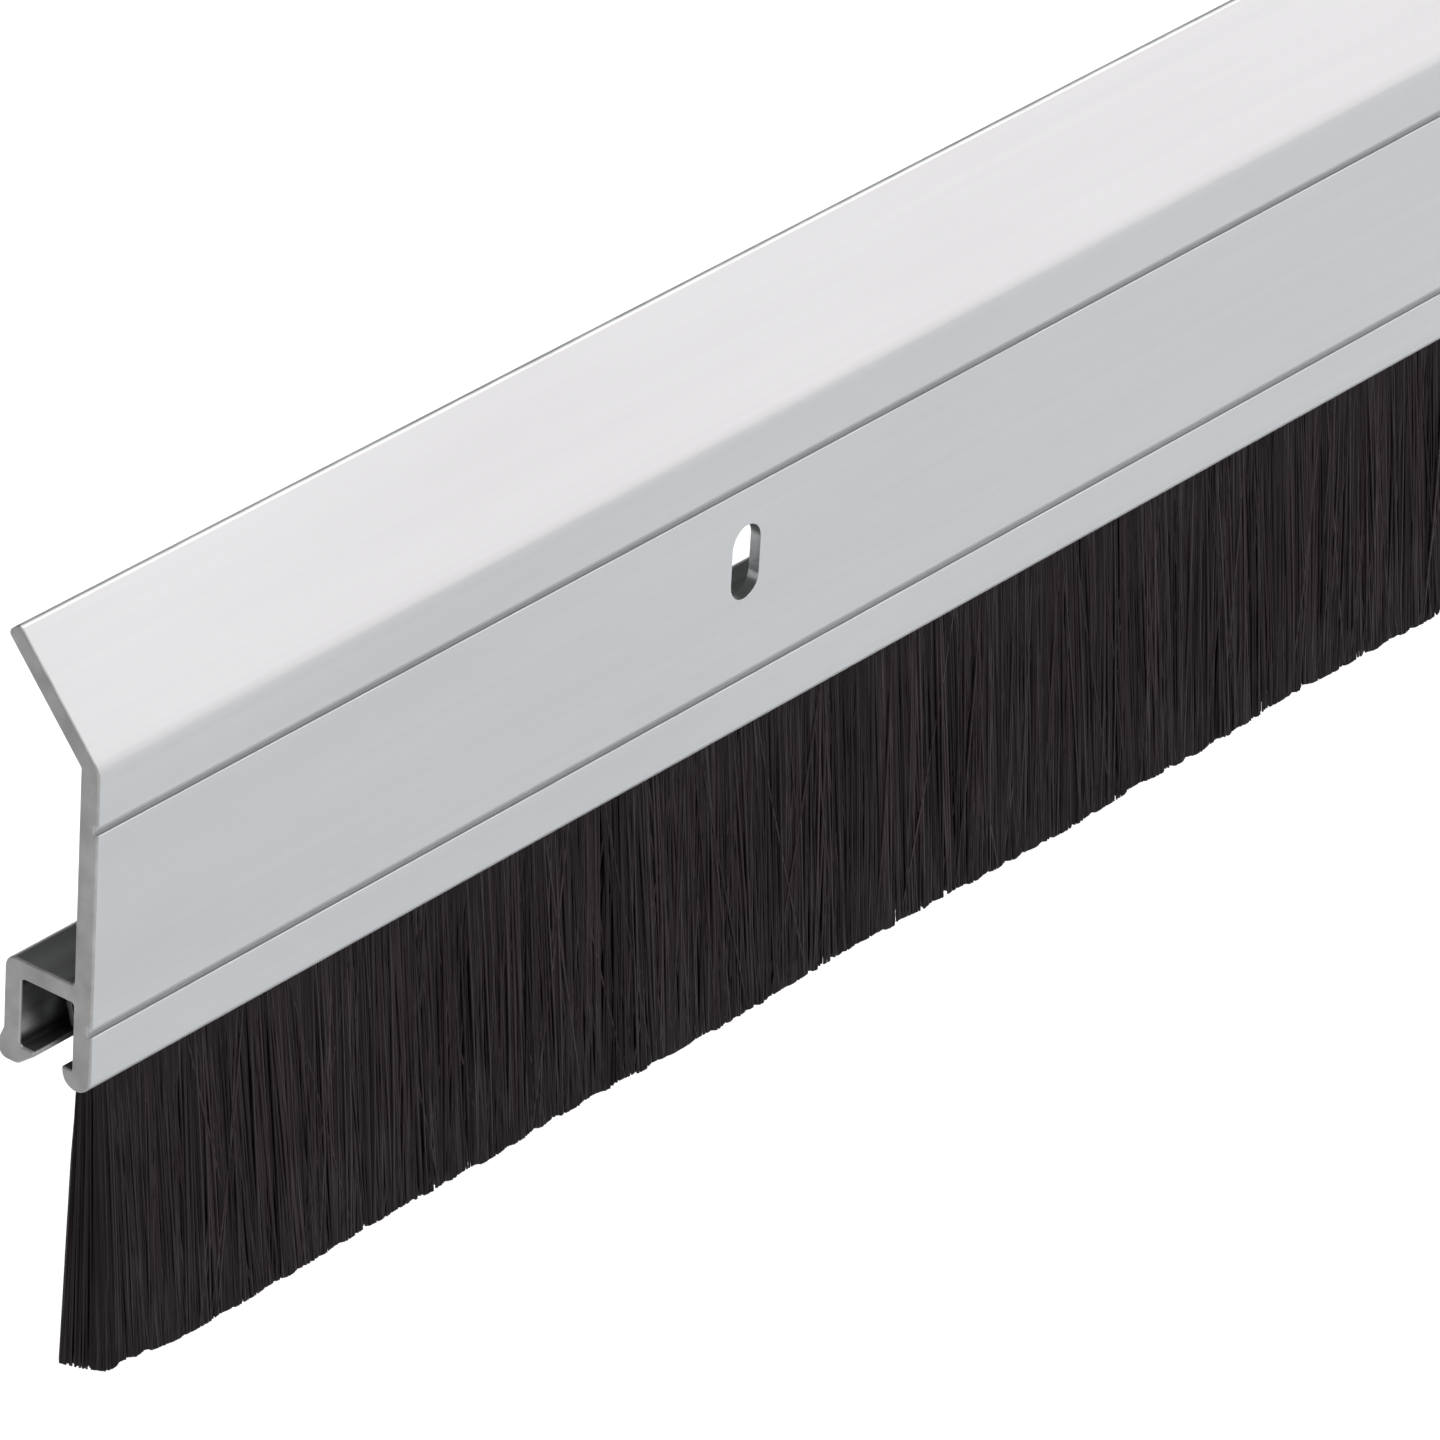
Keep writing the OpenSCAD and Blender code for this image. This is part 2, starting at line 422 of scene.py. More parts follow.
def noise(tree, per_metre, detail=3.0, roughness=0.5):
    """Noise with about so many blots per metre along X, Y and Z."""
    node = tree.nodes.new("ShaderNodeTexNoise")
    node.inputs["Scale"].default_value = 1.0
    node.inputs["Detail"].default_value = detail
    node.inputs["Roughness"].default_value = roughness
    tree.links.new(stretched(tree, per_metre), node.inputs["Vector"])
    return node.outputs["Fac"]


def ramp(tree, value, low, high, at=(0.3, 0.7)):
    """A colour or a grey between low and high as value goes from at[0] to at[1]."""
    node = tree.nodes.new("ShaderNodeValToRGB")
    for element, place, colour in zip(node.color_ramp.elements, at, (low, high)):
        element.position = place
        element.color = rgba(colour)
    tree.links.new(value, node.inputs["Fac"])
    return node.outputs["Color"]


def mixed(tree, a, b, factor, blend="MIX"):
    """Two colours combined. Each colour and the factor is a socket or a plain value."""
    node = tree.nodes.new("ShaderNodeMix")
    node.data_type = "RGBA"
    node.blend_type = blend
    feed(tree, a, node.inputs["A"])
    feed(tree, b, node.inputs["B"])
    feed(tree, factor, node.inputs["Factor"])
    return node.outputs["Result"]


def add_bump(tree, shader, height, distance, strength):
    """Relief on the shader: height is a socket and distance is how deep it goes."""
    node = tree.nodes.new("ShaderNodeBump")
    node.inputs["Distance"].default_value = distance
    node.inputs["Strength"].default_value = strength
    tree.links.new(height, node.inputs["Height"])
    tree.links.new(node.outputs["Normal"], shader.inputs["Normal"])


def attribute(tree, name):
    """The value that the mesh code stored on the vertices."""
    node = tree.nodes.new("ShaderNodeAttribute")
    node.attribute_name = name
    return node.outputs["Fac"]


def edge_wear_and_highlight(tree, colour, lightest):
    """colour, lighter in uneven patches along the outer edges: wear, and a painted highlight on their
    rounding.
    """
    patches = ramp(tree, noise(tree, (120, 700, 700), 4.0, 0.6), 0.35, 1.0, (0.35, 0.6))
    wear_and_highlight = mixed(tree, attribute(tree, "wear_and_highlight"), patches, 1.0, "MULTIPLY")
    bright = mixed(tree, colour, rgba(lightest), 0.6)
    return mixed(tree, colour, bright, wear_and_highlight)


def openness(tree, distance, only_local=True):
    """1 in the open, less where surfaces close in within distance."""
    node = tree.nodes.new("ShaderNodeAmbientOcclusion")
    node.samples = 8
    node.only_local = only_local
    node.inputs["Distance"].default_value = distance
    return node.outputs["AO"]


def drawn_aluminium(name, low, high, streaked, rough, groove_shade):
    """Aluminium with fine lines that the extrusion die drew along the length.

    The tone runs from low to high, streaked is how dark the die lines are (1 is none), rough is a pair
    of roughnesses and groove_shade is how dark the painted shade at the bottoms of narrow grooves is."""
    material, tree, shader = new_material(name)
    shader.inputs["Metallic"].default_value = 0.9
    shader.inputs["IOR"].default_value = 1.5
    fine = noise(tree, (6, 2600, 2600), 4.0, 0.6)
    broad = noise(tree, (9, 900, 900), 4.0)
    cloud = noise(tree, (18, 60, 60), 4.0)
    metal = mixed(tree, ramp(tree, cloud, low, high), ramp(tree, broad, streaked, 1.0), 1.0, "MULTIPLY")
    # Painted shade: the colour is darkened where the surface closes in, as in grooves and corners.
    painted_groove_shade = ramp(tree, openness(tree, 1.5 * MM), groove_shade, 1.0, (0.7, 0.97))
    metal = mixed(tree, metal, painted_groove_shade, 1.0, "MULTIPLY")
    tree.links.new(edge_wear_and_highlight(tree, metal, 0.8), shader.inputs["Base Color"])
    surface = mixed(tree, ramp(tree, fine, *rough), ramp(tree, cloud, *rough), 0.5)
    tree.links.new(surface, shader.inputs["Roughness"])
    add_bump(tree, shader, fine, 0.004 * MM, 0.6)
    return material


def anodised_aluminium():
    """The satin silver face that is seen on the door."""
    return drawn_aluminium(
        "anodised_aluminium",
        low=(0.332, 0.348, 0.359),
        high=(0.351, 0.367, 0.378),
        streaked=0.97,
        rough=(0.35, 0.46),
        groove_shade=0.86,
    )


def shaded_aluminium():
    """The faces behind the plate and in the channel: a darker copy of the aluminium that is painted shade,
    with plainer die lines.
    """
    return drawn_aluminium(
        "shaded_aluminium",
        low=(0.285, 0.292, 0.297),
        high=(0.335, 0.342, 0.347),
        streaked=0.72,
        rough=(0.24, 0.34),
        groove_shade=0.55,
    )


def sawn_aluminium():
    """The saw-cut end of the extrusion: duller, with short marks across it."""
    material, tree, shader = new_material("sawn_aluminium")
    shader.inputs["Metallic"].default_value = 0.85
    marks = noise(tree, (400, 3200, 420), 4.0, 0.6)
    blots = noise(tree, (300, 300, 300))
    cut = mixed(tree, ramp(tree, blots, 0.215, 0.3), ramp(tree, marks, 0.86, 1.0), 0.7, "MULTIPLY")
    tree.links.new(edge_wear_and_highlight(tree, cut, 0.6), shader.inputs["Base Color"])
    tree.links.new(ramp(tree, marks, 0.42, 0.58), shader.inputs["Roughness"])
    add_bump(tree, shader, marks, 0.01 * MM, 0.6)
    return material


def galvanised_steel():
    """Dull zinc-coated sheet with a faint spangle."""
    material, tree, shader = new_material("galvanised_steel")
    shader.inputs["Metallic"].default_value = 0.9
    cells = tree.nodes.new("ShaderNodeTexVoronoi")
    cells.inputs["Scale"].default_value = 1.0
    tree.links.new(stretched(tree, (260, 420, 420)), cells.inputs["Vector"])
    spangle = tree.nodes.new("ShaderNodeSeparateColor")
    tree.links.new(cells.outputs["Color"], spangle.inputs["Color"])
    grain = noise(tree, (900, 900, 900), 4.0)
    tone = ramp(tree, spangle.outputs["Red"], (0.26, 0.268, 0.28), (0.36, 0.368, 0.38), (0.0, 1.0))
    zinc = mixed(tree, tone, ramp(tree, grain, 0.85, 1.0), 0.6, "MULTIPLY")
    # Painted shade: darker where this or another part closes in round it, as inside the channel.
    enclosed_shade = ramp(tree, openness(tree, 6 * MM, only_local=False), 0.25, 1.0, (0.1, 0.8))
    tree.links.new(mixed(tree, zinc, enclosed_shade, 1.0, "MULTIPLY"), shader.inputs["Base Color"])
    tree.links.new(ramp(tree, grain, 0.42, 0.6), shader.inputs["Roughness"])
    add_bump(tree, shader, grain, 0.006 * MM, 0.7)
    return material


def drawn_wire():
    """Plain steel wire with drawing lines along it."""
    material, tree, shader = new_material("steel_wire")
    shader.inputs["Metallic"].default_value = 1.0
    lines = noise(tree, (20, 4000, 4000))
    colour = ramp(tree, lines, (0.42, 0.42, 0.43), (0.58, 0.58, 0.59))
    tree.links.new(colour, shader.inputs["Base Color"])
    tree.links.new(ramp(tree, lines, 0.3, 0.45), shader.inputs["Roughness"])
    add_bump(tree, shader, lines, 0.004 * MM, 0.5)
    return material


def black_bristle():
    """Semi-matte black filament, each one a little lighter or darker than the next."""
    material, tree, shader = new_material("black_bristle")
    along = noise(tree, (2200, 2200, 160))
    darkest, lightest = (0.0016, 0.001, 0.0013), (0.0176, 0.0121, 0.0141)
    colour = ramp(tree, attribute(tree, "tone"), darkest, lightest, (0.0, 1.0))
    colour = mixed(tree, colour, ramp(tree, along, 0.75, 1.0), 0.7, "MULTIPLY")
    tree.links.new(colour, shader.inputs["Base Color"])
    tree.links.new(ramp(tree, along, 0.42, 0.58), shader.inputs["Roughness"])
    shader.inputs["Specular IOR Level"].default_value = 0.125
    shader.inputs["Specular Tint"].default_value = (1.0, 0.9, 0.94, 1)
    return material


def floor_paint():
    """Pale paint that glows far from the strip, so that the floor runs into the pale horizon."""
    material, tree, shader = new_material("floor_paint")
    shader.inputs["Base Color"].default_value = (0.86, 0.86, 0.86, 1)
    shader.inputs["Roughness"].default_value = 0.9
    shader.inputs["Specular IOR Level"].default_value = 0.1
    shader.inputs["Emission Color"].default_value = (1, 1, 1, 1)
    distance = tree.nodes.new("ShaderNodeVectorMath")
    distance.operation = "LENGTH"
    tree.links.new(stretched(tree, (1 / GLOW_REACH,) * 3), distance.inputs[0])
    glow = ramp(tree, distance.outputs["Value"], 0.0, FLOOR_GLOW, (0.2, 0.8))
    tree.links.new(glow, shader.inputs["Emission Strength"])
    return material


# ---------------------------------------------------------------- metal pieces
# The extrusion's materials, in the order of its material slots. The second is a darker copy of the first,
# painted as shade.
ANODISED, SHADED, SAWN = range(3)

# A face whose normal has less than this along an axis is taken not to face that way.
SIDEWAYS = 0.1


def band_side(outline, y):
    """The index of the outline's side that spans the slot band on the face at y."""
    for i, p in enumerate(outline):
        q = outline[(i + 1) % len(outline)]
        on_face = abs(p.x - y) < CLOSE and abs(q.x - y) < CLOSE
        if on_face and abs(abs(p.y - q.y) - 2 * band_half) < CLOSE:
            return i
    raise ValueError("the outline has no slot band at this face")


def finish_and_shade_of(face, mesh):
    """The material of a face of the extrusion, by where it is and which way it faces: the slots, the faces
    behind the plate and those turned away get the darker copy painted as shade.
    """
    least_x = min(abs(mesh.vertices[v].co.x) for v in face.vertices)
    if least_x > half_length - END_ROUND - CLOSE:
        return SAWN
    y, z = face.center.y, face.center.z
    in_slot = y > front_y + 2 * SLOT_ROUND and abs(z - SLOT_Z) < band_half
    behind = y > plate_back_y - 0.5 * EDGE_R and z < BEND_Z
    turned_away = face.normal.y > SIDEWAYS and face.normal.z < SIDEWAYS
    return SHADED if in_slot or behind or turned_away else ANODISED


def build_profile(anodised, shaded, sawn):
    """The extrusion: its section drawn along X, rounded at the cut ends, with the slots let in."""
    corners = profile_corners()
    outline = rounded(corners)
    band_sides = (band_side(outline, front_y), band_side(outline, plate_back_y))
    slot_xs = [(i - (SLOT_COUNT - 1) / 2) * slot_pitch for i in range(SLOT_COUNT)]
    middle = [(x + side * patch_half, 0.0, None) for x in slot_xs for side in (-1, 1)]
    # The rings start with END_STEPS + 1 round the end's edge, and then each slot has one on either side.
    slot_after = {END_STEPS + 1 + 2 * i: x for i, x in enumerate(slot_xs)}
    bm = bmesh.new()
    rings = []
    for x, inset, wear_highlight in stations(half_length, END_ROUND, END_STEPS, middle):
        rings.append(add_ring(bm, x, rounded(corners, inset), wear_highlight))
    for k, (a, b) in enumerate(zip(rings, rings[1:])):
        if k in slot_after:
            bridge(bm, a, b, band_sides)
            let_in_slot(bm, a, b, band_sides, slot_after[k])
        else:
            bridge(bm, a, b)
    add_caps(bm, rings)
    obj = finish_mesh(bm, "profile_extrusion", [anodised, shaded, sawn])
    for face in obj.data.polygons:
        face.material_index = finish_and_shade_of(face, obj.data)
    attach(obj, "rail")
    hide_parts("profile")


def build_holder(metal):
    """The folded steel channel that grips the bristles."""
    corners = holder_corners()
    bm = bmesh.new()
    rings = []
    for x, inset, wear_highlight in stations(insert_half, HOLDER_END_ROUND, 2):
        rings.append(add_ring(bm, x, rounded(corners, inset), wear_highlight))
    join_rings(bm, rings)
    obj = finish_mesh(bm, "holder_channel", [metal])
    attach(obj, "brush")
    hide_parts("brush_holder")


def build_wire(metal):
    """The core wire, cropped with a slightly rounded edge."""
    angles = [2 * math.pi * k / WIRE_SIDES for k in range(WIRE_SIDES)]
    bm = bmesh.new()
    rings = []
    for x, inset, wear_highlight in stations(insert_half, WIRE_END_ROUND, 3):
        r = wire_r - inset
        outline = [Vector((insert_y + r * math.cos(a), wire_z + r * math.sin(a), 0)) for a in angles]
        rings.append(add_ring(bm, x, outline, wear_highlight))
    join_rings(bm, rings)
    obj = finish_mesh(bm, "core_wire_rod", [metal])
    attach(obj, "brush")
    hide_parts("core_wire")


# ---------------------------------------------------------------- bristles
STRETCHES = 10
BRISTLES_PER_M = 48000
BRISTLE_R = 0.165 * MM
GOLDEN = (math.sqrt(5) - 1) / 2

# How the pack is filled: the share of bristles in each face of it, how the rest crowd towards the faces,
# and the rows added at its two ends.
SKIN_SHARE = 0.25
FACE_BIAS = 0.6
DEPTH_JITTER = 0.15
END_ROW = 3.0 * MM
END_EXTRA = 300
END_CROWDING = 1.8
END_NARROWING = 0.25
NARROWING_REACH = 0.8 * MM

# How the tips stand away from the roots, front to back and along the strip. Waves are (spacing, spread).
# Strays lean by Student's t with STRAY_FREEDOM degrees of freedom, whose long tails send a few far out.
FAN_JITTER = 0.12
FRONT_LEANS = ((7 * MM, 0.7 * MM), (2.4 * MM, 0.25 * MM))
REAR_LEANS = ((8 * MM, 0.7 * MM), (2.7 * MM, 0.25 * MM))
LEAN_JITTER = 0.9 * MM
STRAY_SHARE = 0.22
STRAY_SPREAD = 2.3 * MM
STRAY_MAX = 9.0 * MM
STRAY_FREEDOM = 2
CROSSING_SHARE = 0.8
CALM_REACH = 10 * MM
CALM_LEAST = 0.35
END_SPLAY = 0.95 * MM
SPLAY_REACH = 3 * MM
BOW_X = 0.12 * MM
BOW_Y = 0.1 * MM
LEAN_CURVE = 1.1
RING_SHARES = np.array([0.0, 0.107, 0.4, 0.7, 1.0])

# How high the tips are cut: fine teeth, waves and a slow sway, a few shorter ones and rounded ends.
TOOTH_SPACING = 1.8 * MM
TOOTH_H = 0.4 * MM
WAVE_SPACING = 14 * MM
WAVE_RISE = 0.25 * MM
WAVE_SPREAD = 0.2 * MM
SWAY_LENGTH = 420 * MM
SWAY_H = 1.0 * MM
TIP_JITTER = 0.03 * MM
SHORTER_BY = 0.12 * MM
CORNER_H = 0.6 * MM
CORNER_REACH = 8 * MM
EDGE_H = 0.5 * MM
EDGE_REACH = 1.2 * MM

# The bristle's own shape and tone, and the painted highlight on slanting bristles. The tubes are square, so
# that their ends are quads too.
TUBE_SIDES = 4
WIDTHS = (0.75, 1.2)
BODY_TAPER = 0.95
TIP_TAPER = 0.8
TONE = 0.24
TONE_JITTER = 0.17
TONE_CLUMPS = ((1.1 * MM, 0.17), (0.45 * MM, 0.15))
SLANT_HIGHLIGHT_PER_MM = 0.08

# The folds over the core wire in each end of the holder.
FOLD_LAYERS = 5
FOLD_POINTS = 9
FOLD_SPAN = 2.4 * MM
FOLD_PITCH = 0.3 * MM
FOLD_JITTER = 0.3
FOLD_DROP = 0.3 * MM
FOLD_MOUTH_LEAST = 0.15


def smooth_noise(rng, x, spacing, spread):
    """A random wave along x: knots every spacing, joined smoothly."""
    count = int(2 * insert_half / spacing) + 3
    knots = rng.normal(0, spread, count)
    at = (x + insert_half) / spacing
    cell = np.clip(np.floor(at).astype(int), 0, count - 2)
    share = at - cell
    ease = share * share * (3 - 2 * share)
    return knots[cell] * (1 - ease) + knots[cell + 1] * ease


def summed_noise(rng, x, waves):
    """Several random waves along x, each given as (spacing, spread)."""
    return sum(smooth_noise(rng, x, spacing, spread) for spacing, spread in waves)


def from_end(x):
    """How far x is from the nearer end of the insert, and 0 past it."""
    return np.maximum(insert_half - np.abs(x), 0)


def tip_heights(rng, end_x, end_y):
    """Where each bristle is cut off: lower at the back, uneven, and rounded at the two end corners."""
    count = len(end_x)
    back = (end_y - tip_y) / TIP_T + 0.5
    inward = from_end(end_x)
    teeth = np.maximum(TOOTH_H - np.abs(smooth_noise(rng, end_x, TOOTH_SPACING, TOOTH_H)), 0)
    waves = WAVE_RISE + smooth_noise(rng, end_x, WAVE_SPACING, WAVE_SPREAD)
    sway = SWAY_H / 2 * (1 + np.cos(2 * math.pi * inward / SWAY_LENGTH))
    single = rng.uniform(0, TIP_JITTER, count) + SHORTER_BY * rng.uniform(0, 1, count) ** 10
    corner = CORNER_H * np.exp(-(inward / CORNER_REACH) ** 2)
    edge = EDGE_H * np.exp(-(inward / EDGE_REACH) ** 2) * back ** 4
    return tip_z - TIP_DROP * back + np.maximum(teeth + waves + single, 0) + sway + corner + edge


def bristle_roots(rng):
    """Where each bristle leaves the holder: its x, and its depth from -1 at the front to 1 at the back."""
    count = int(BRISTLES_PER_M * 2 * insert_half)
    x = (np.arange(count) + rng.uniform(0, 1, count)) / count * 2 * insert_half - insert_half
    row = END_ROW * np.linspace(0, 1, END_EXTRA) ** END_CROWDING - insert_half
    x = np.concatenate([row, x, -row[::-1]])
    x = np.clip(x, -insert_half + BRISTLE_R, insert_half - BRISTLE_R)
    count = len(x)
    even = np.mod(np.arange(count) * GOLDEN + rng.uniform(0, DEPTH_JITTER, count), 1.0) * 2 - 1
    depth = (1 - FACE_BIAS) * even + FACE_BIAS * np.sin(math.pi / 2 * even)
    skin = rng.uniform(0, 1, count)
    depth = np.where(skin < 2 * SKIN_SHARE, np.where(skin < SKIN_SHARE, -1, 1), depth)
    return x, depth * (1 - END_NARROWING * np.exp(-from_end(x) / NARROWING_REACH))


def bristle_leans(rng, x, depth):
    """How far along the strip each tip stands from its root: in waves, with strays, splayed at the ends."""
    count = len(x)
    inward = from_end(x)
    front = summed_noise(rng, x, FRONT_LEANS)
    rear = summed_noise(rng, x, REAR_LEANS)
    lean = np.where(depth < 0, front, rear) + rng.normal(0, LEAN_JITTER, count)
    stray = rng.uniform(0, 1, count) < STRAY_SHARE
    astray = np.clip(rng.standard_t(STRAY_FREEDOM, count) * STRAY_SPREAD, -STRAY_MAX, STRAY_MAX)
    lean = lean + np.where(stray, astray, 0)
    crossing = stray & (np.sign(x) * lean < 0)
    lean = lean * np.where(crossing, CROSSING_SHARE, np.clip(inward / CALM_REACH, CALM_LEAST, 1))
    return lean + np.sign(x) * END_SPLAY * np.exp(-inward / SPLAY_REACH)


def bristle_lines(rng):
    """Points down the middle of each bristle, (count, rings, 3), from inside the holder to the tip."""
    x, depth = bristle_roots(rng)
    count = len(x)
    root_y = insert_y + depth * (PACK_T / 2 - BRISTLE_R)
    fan = np.clip(depth + rng.normal(0, FAN_JITTER, count), -1, 1)
    end_y = tip_y + fan * (TIP_T / 2 - BRISTLE_R)
    limit = insert_half + END_SPLAY
    end_x = np.clip(x + bristle_leans(rng, x, depth), -limit, limit)
    end_z = tip_heights(rng, end_x, end_y)
    z = root_z + (end_z - root_z)[:, None] * RING_SHARES
    drop = np.clip((flare_z - z) / (flare_z - end_z)[:, None], 0, 1)
    bow_x = rng.normal(0, BOW_X, count)[:, None] * np.sin(math.pi * drop)
    bow_y = rng.normal(0, BOW_Y, count)[:, None] * np.sin(math.pi * drop)
    px = x[:, None] + (end_x - x)[:, None] * drop ** LEAN_CURVE + bow_x
    py = root_y[:, None] + (end_y - root_y)[:, None] * drop + bow_y
    lower, upper = tip_y - TIP_T / 2 + BRISTLE_R, tip_y + TIP_T / 2 - BRISTLE_R
    py = np.clip(py, lower, np.maximum(upper, root_y[:, None]))
    return np.stack([px, py, z], axis=2)


def fold_section(radius, mouth):
    """Points (y, z) of a bristle folded over the wire at radius, with its legs' ends mouth off the middle."""
    arc = np.linspace(math.pi, 0, FOLD_POINTS)[1:-1]
    low_z = wire_z - FOLD_DROP
    y = insert_y + np.concatenate([[-mouth, -radius], radius * np.cos(arc), [radius, mouth]])
    z = np.concatenate([[root_z, low_z], wire_z + radius * np.sin(arc), [low_z, root_z]])
    return y, z


def fold_lines(rng):
    """The loops where the outermost bristles are folded over the core wire, seen in the holder's ends."""
    inner = wire_r + BRISTLE_R
    outer = holder_half - HOLDER_T - BRISTLE_R
    lines = []
    for side in (-1, 1):
        for radius in np.linspace(inner, outer, FOLD_LAYERS):
            spread = FOLD_MOUTH_LEAST + (1 - FOLD_MOUTH_LEAST) * (radius - inner) / (outer - inner)
            y, z = fold_section(radius, (PACK_T / 2 - BRISTLE_R) * spread)
            for step in np.arange(BRISTLE_R, FOLD_SPAN, FOLD_PITCH):
                x = side * (insert_half - step - rng.uniform(0, FOLD_JITTER) * FOLD_PITCH)
                lines.append(np.stack([np.full_like(y, x), y, z], axis=1))
    return np.array(lines)


def tube_verts(rng, lines):
    """Rings of vertices round each line, turned at random and thinner at the tip, one vertex to a row."""
    count, rings, _ = lines.shape
    x_axis = np.array([1.0, 0.0, 0.0])
    quarter = np.arange(TUBE_SIDES) * 2 * math.pi / TUBE_SIDES
    angle = (rng.uniform(0, 2 * math.pi, count)[:, None] + quarter)[:, None, :, None]
    width = rng.uniform(*WIDTHS, count)[:, None, None, None] * BRISTLE_R
    taper = np.linspace(1.0, BODY_TAPER, rings)
    taper[-1] = TIP_TAPER
    across = np.cross(np.gradient(lines, axis=1), x_axis)
    across = across / np.linalg.norm(across, axis=2, keepdims=True)
    offset = np.cos(angle) * x_axis + np.sin(angle) * across[:, :, None, :]
    verts = lines[:, :, None, :] + offset * width * taper[None, :, None, None]
    return verts.reshape(-1, 3)


def tube_faces(count, rings):
    """Quads round each of count tubes and over its two ends, as indices of their vertices."""
    start = np.arange(count)[:, None] * rings * TUBE_SIDES
    i = np.arange(TUBE_SIDES)
    j = (i + 1) % TUBE_SIDES
    above = (start + np.arange(rings - 1) * TUBE_SIDES)[:, :, None]
    below = above + TUBE_SIDES
    walls = np.stack([above + i, below + i, below + j, above + j], axis=3).reshape(-1, 4)
    roots = start + i
    tips = start + (rings - 1) * TUBE_SIDES + i[::-1]
    return np.concatenate([walls, roots, tips])


def tones(rng, lines):
    """How light each bristle is, from 0 to 1: uneven in clumps, and lighter where it slants, a painted
    highlight.
    """
    count, rings, _ = lines.shape
    clump = summed_noise(rng, lines[:, rings // 2, 0], TONE_CLUMPS)
    slant = np.abs(lines[:, -1, 0] - lines[:, 0, 0])
    return np.clip(TONE + clump + rng.normal(0, TONE_JITTER, count) + SLANT_HIGHLIGHT_PER_MM * slant / MM, 0, 1)


def bristle_piece(rng, name, lines, material):
    """One object with a tube for each line."""
    count, rings, _ = lines.shape
    verts = tube_verts(rng, lines)
    faces = tube_faces(count, rings)
    mesh = bpy.data.meshes.new(name)
    mesh.vertices.add(len(verts))
    mesh.vertices.foreach_set("co", verts.astype(np.float32).ravel())
    mesh.loops.add(faces.size)
    mesh.loops.foreach_set("vertex_index", faces.astype(np.int32).ravel())
    mesh.polygons.add(len(faces))
    mesh.polygons.foreach_set("loop_start", np.arange(0, faces.size, TUBE_SIDES, dtype=np.int32))
    mesh.update(calc_edges=True)
    mesh.shade_smooth()
    tone = np.repeat(tones(rng, lines), rings * TUBE_SIDES)
    stored = mesh.attributes.new("tone", "FLOAT", "POINT")
    stored.data.foreach_set("value", tone.astype(np.float32))
    mesh.materials.append(material)
    return add_object(name, mesh)


def build_bristles(material):
    """The filaments in stretches along the strip, and the folds over the wire at its two ends."""
    rng = np.random.default_rng(SEED)
    stretches = np.array_split(bristle_lines(rng), STRETCHES)
    groups = {f"bristles_{k + 1:02d}": lines for k, lines in enumerate(stretches)}
    groups["bristle_folds"] = fold_lines(rng)
    for name, lines in groups.items():
        obj = bristle_piece(rng, name, lines, material)
        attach(obj, "brush")
        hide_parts("bristles")


# ---------------------------------------------------------------- stage
# The camera: angles in degrees, the distance in metres and the lens as its focal length in millimetres.
VIEW_AZIMUTH = -52.38
VIEW_ELEVATION = 29.24
VIEW_ROLL = 3.36
VIEW_DISTANCE = 1.3094
VIEW_LENS = 318.55
AIM_FROM_END = 97.2 * MM
AIM_HEIGHT = 1.77 * MM

# The floor, and how bright it is at its brightest, which it reaches at 0.8 of GLOW_REACH.
FLOOR_DROP = 0.16
FLOOR_SIZE = 40.0
FLOOR_GLOW = 0.85
GLOW_REACH = 4.0

# The sky's brightness, and the distance from the near end of the point that the lights face.
HORIZON = 0.95
ZENITH = 0.1
LIT_FROM_END = 0.15


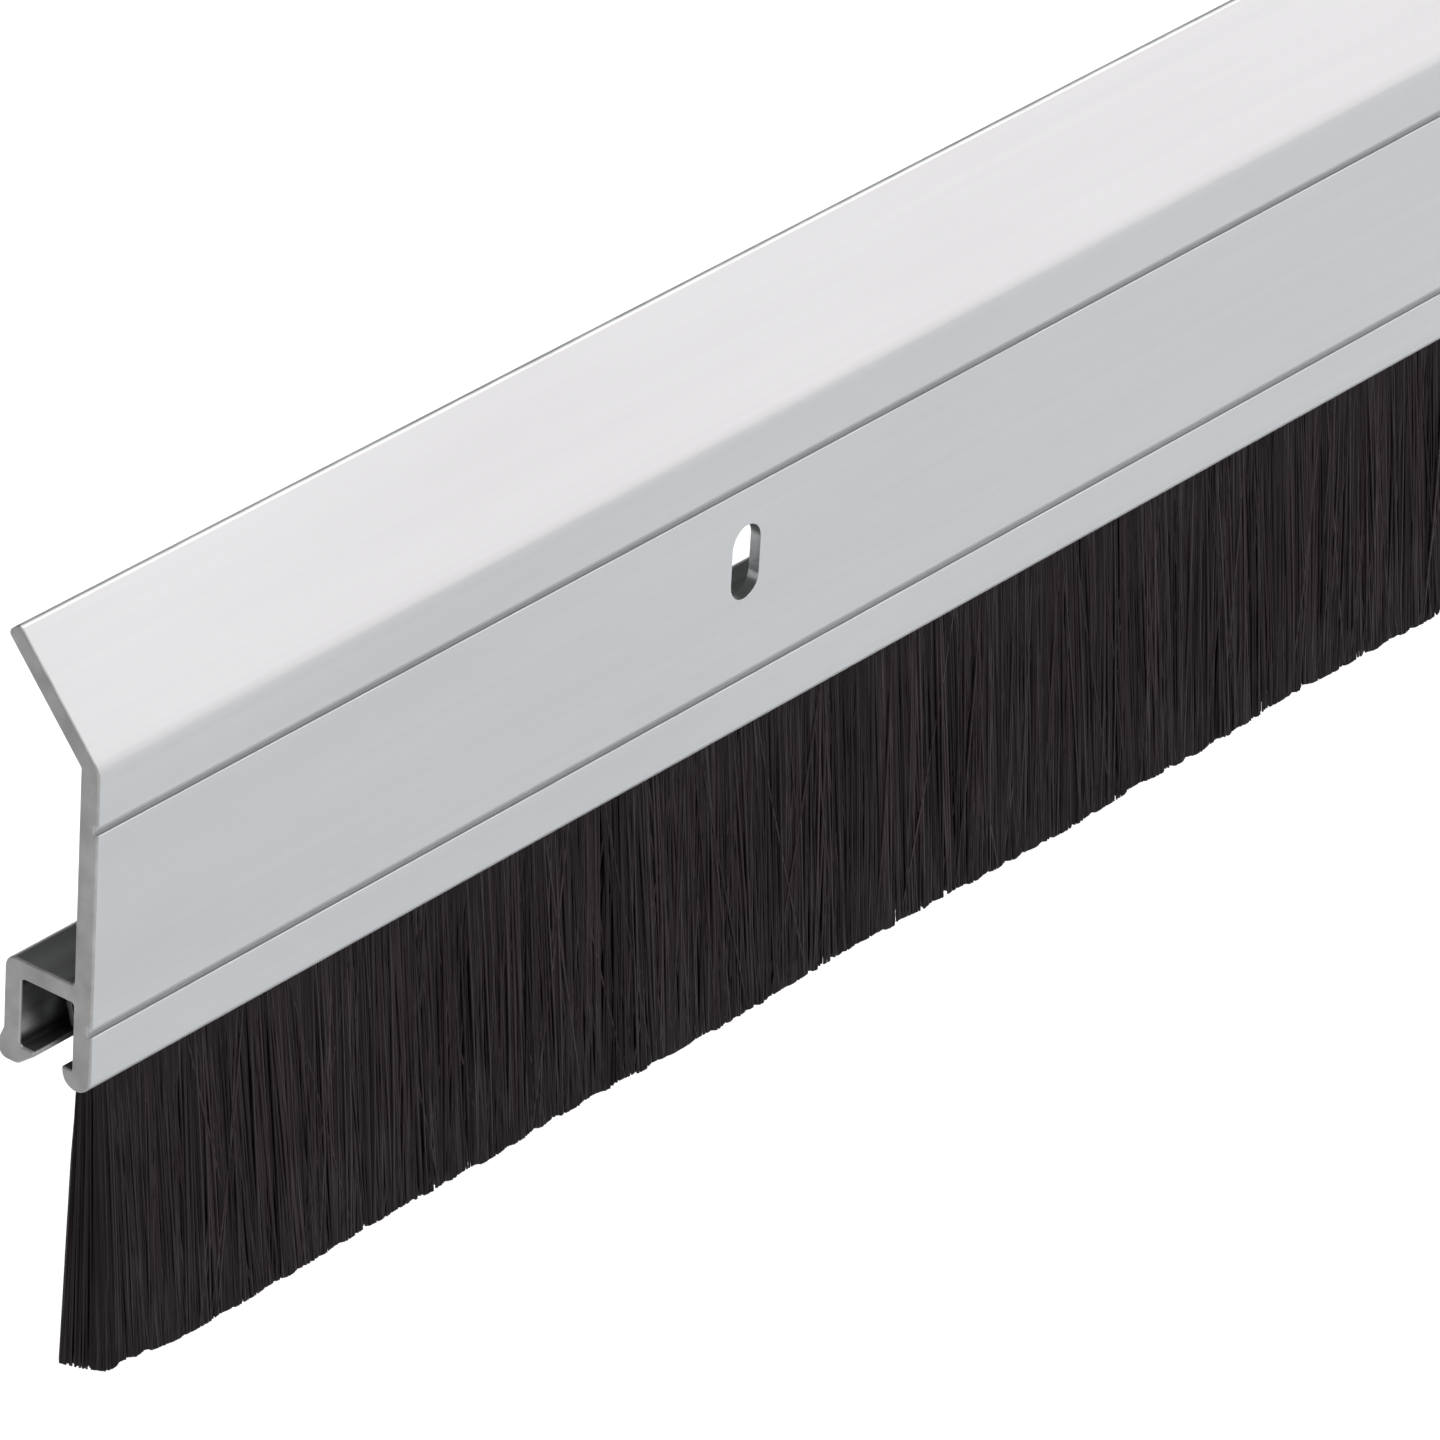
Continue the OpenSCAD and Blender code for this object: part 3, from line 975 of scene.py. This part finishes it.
def make_camera():
    """A long lens on the near end of the strip, seen from the front, above and the left."""
    azimuth, elevation = math.radians(VIEW_AZIMUTH), math.radians(VIEW_ELEVATION)
    back = Vector((
        math.sin(azimuth) * math.cos(elevation),
        -math.cos(azimuth) * math.cos(elevation),
        math.sin(elevation),
    ))
    aim = Vector((-half_length + AIM_FROM_END, front_y, AIM_HEIGHT))
    data = bpy.data.cameras.new("camera")
    data.lens = VIEW_LENS
    data.sensor_width = 36
    data.clip_start = 0.01
    data.clip_end = 50
    camera = add_object("camera", data)
    camera.location = aim + VIEW_DISTANCE * back
    camera.rotation_mode = "QUATERNION"
    roll = Quaternion((0, 0, 1), math.radians(VIEW_ROLL))
    camera.rotation_quaternion = back.to_track_quat("Z", "Y") @ roll
    bpy.context.scene.camera = camera


def make_floor():
    """A plain floor well below the brush, wide enough to run into the horizon."""
    mesh = bpy.data.meshes.new("floor")
    half = FLOOR_SIZE / 2
    z = brush_low.z - FLOOR_DROP
    corners = [(-half, -half, z), (half, -half, z), (half, half, z), (-half, half, z)]
    mesh.from_pydata(corners, [], [(0, 1, 2, 3)])
    mesh.materials.append(floor_paint())
    floor = add_object("floor", mesh)


def area_light(name, towards, distance, size, power, colour=(1, 1, 1)):
    """A square softbox at distance in a direction from a point near the strip's near end, facing it."""
    data = bpy.data.lights.new(name, "AREA")
    data.shape = "SQUARE"
    data.size = size
    data.energy = power
    data.color = colour
    way = Vector(towards).normalized()
    light = add_object(name, data)
    light.location = Vector((-half_length + LIT_FROM_END, 0, 0)) + way * distance
    light.rotation_mode = "QUATERNION"
    light.rotation_quaternion = way.to_track_quat("Z", "Y")


def make_studio():
    """A dim studio that is pale down to the horizon."""
    world = bpy.data.worlds.new("studio")
    world.use_nodes = True
    tree = world.node_tree
    way = tree.nodes.new("ShaderNodeTexCoord")
    split = tree.nodes.new("ShaderNodeSeparateXYZ")
    tree.links.new(way.outputs["Generated"], split.inputs["Vector"])
    glow = ramp(tree, split.outputs["Z"], HORIZON, ZENITH, (0.03, 0.3))
    tree.links.new(glow, tree.nodes["Background"].inputs["Color"])
    bpy.context.scene.world = world
    bpy.context.scene.view_settings.view_transform = "Standard"


def make_lights():
    """A warm key and a rim light from beyond the far end, and a large softbox overhead."""
    area_light("key", (0.69, -0.56, 0.455), distance=2.0, size=1.8, power=23, colour=(1.0, 0.905, 0.89))
    area_light("rim", (0.69, -0.1, 0.72), distance=2.0, size=1.4, power=9)
    area_light("top", (-0.1, -0.35, 1.0), distance=3.0, size=3.0, power=163)


# ---------------------------------------------------------------- build
make_camera()
make_floor()
make_studio()
make_lights()
build_profile(anodised_aluminium(), shaded_aluminium(), sawn_aluminium())
build_holder(galvanised_steel())
build_wire(drawn_wire())
build_bristles(black_bristle())
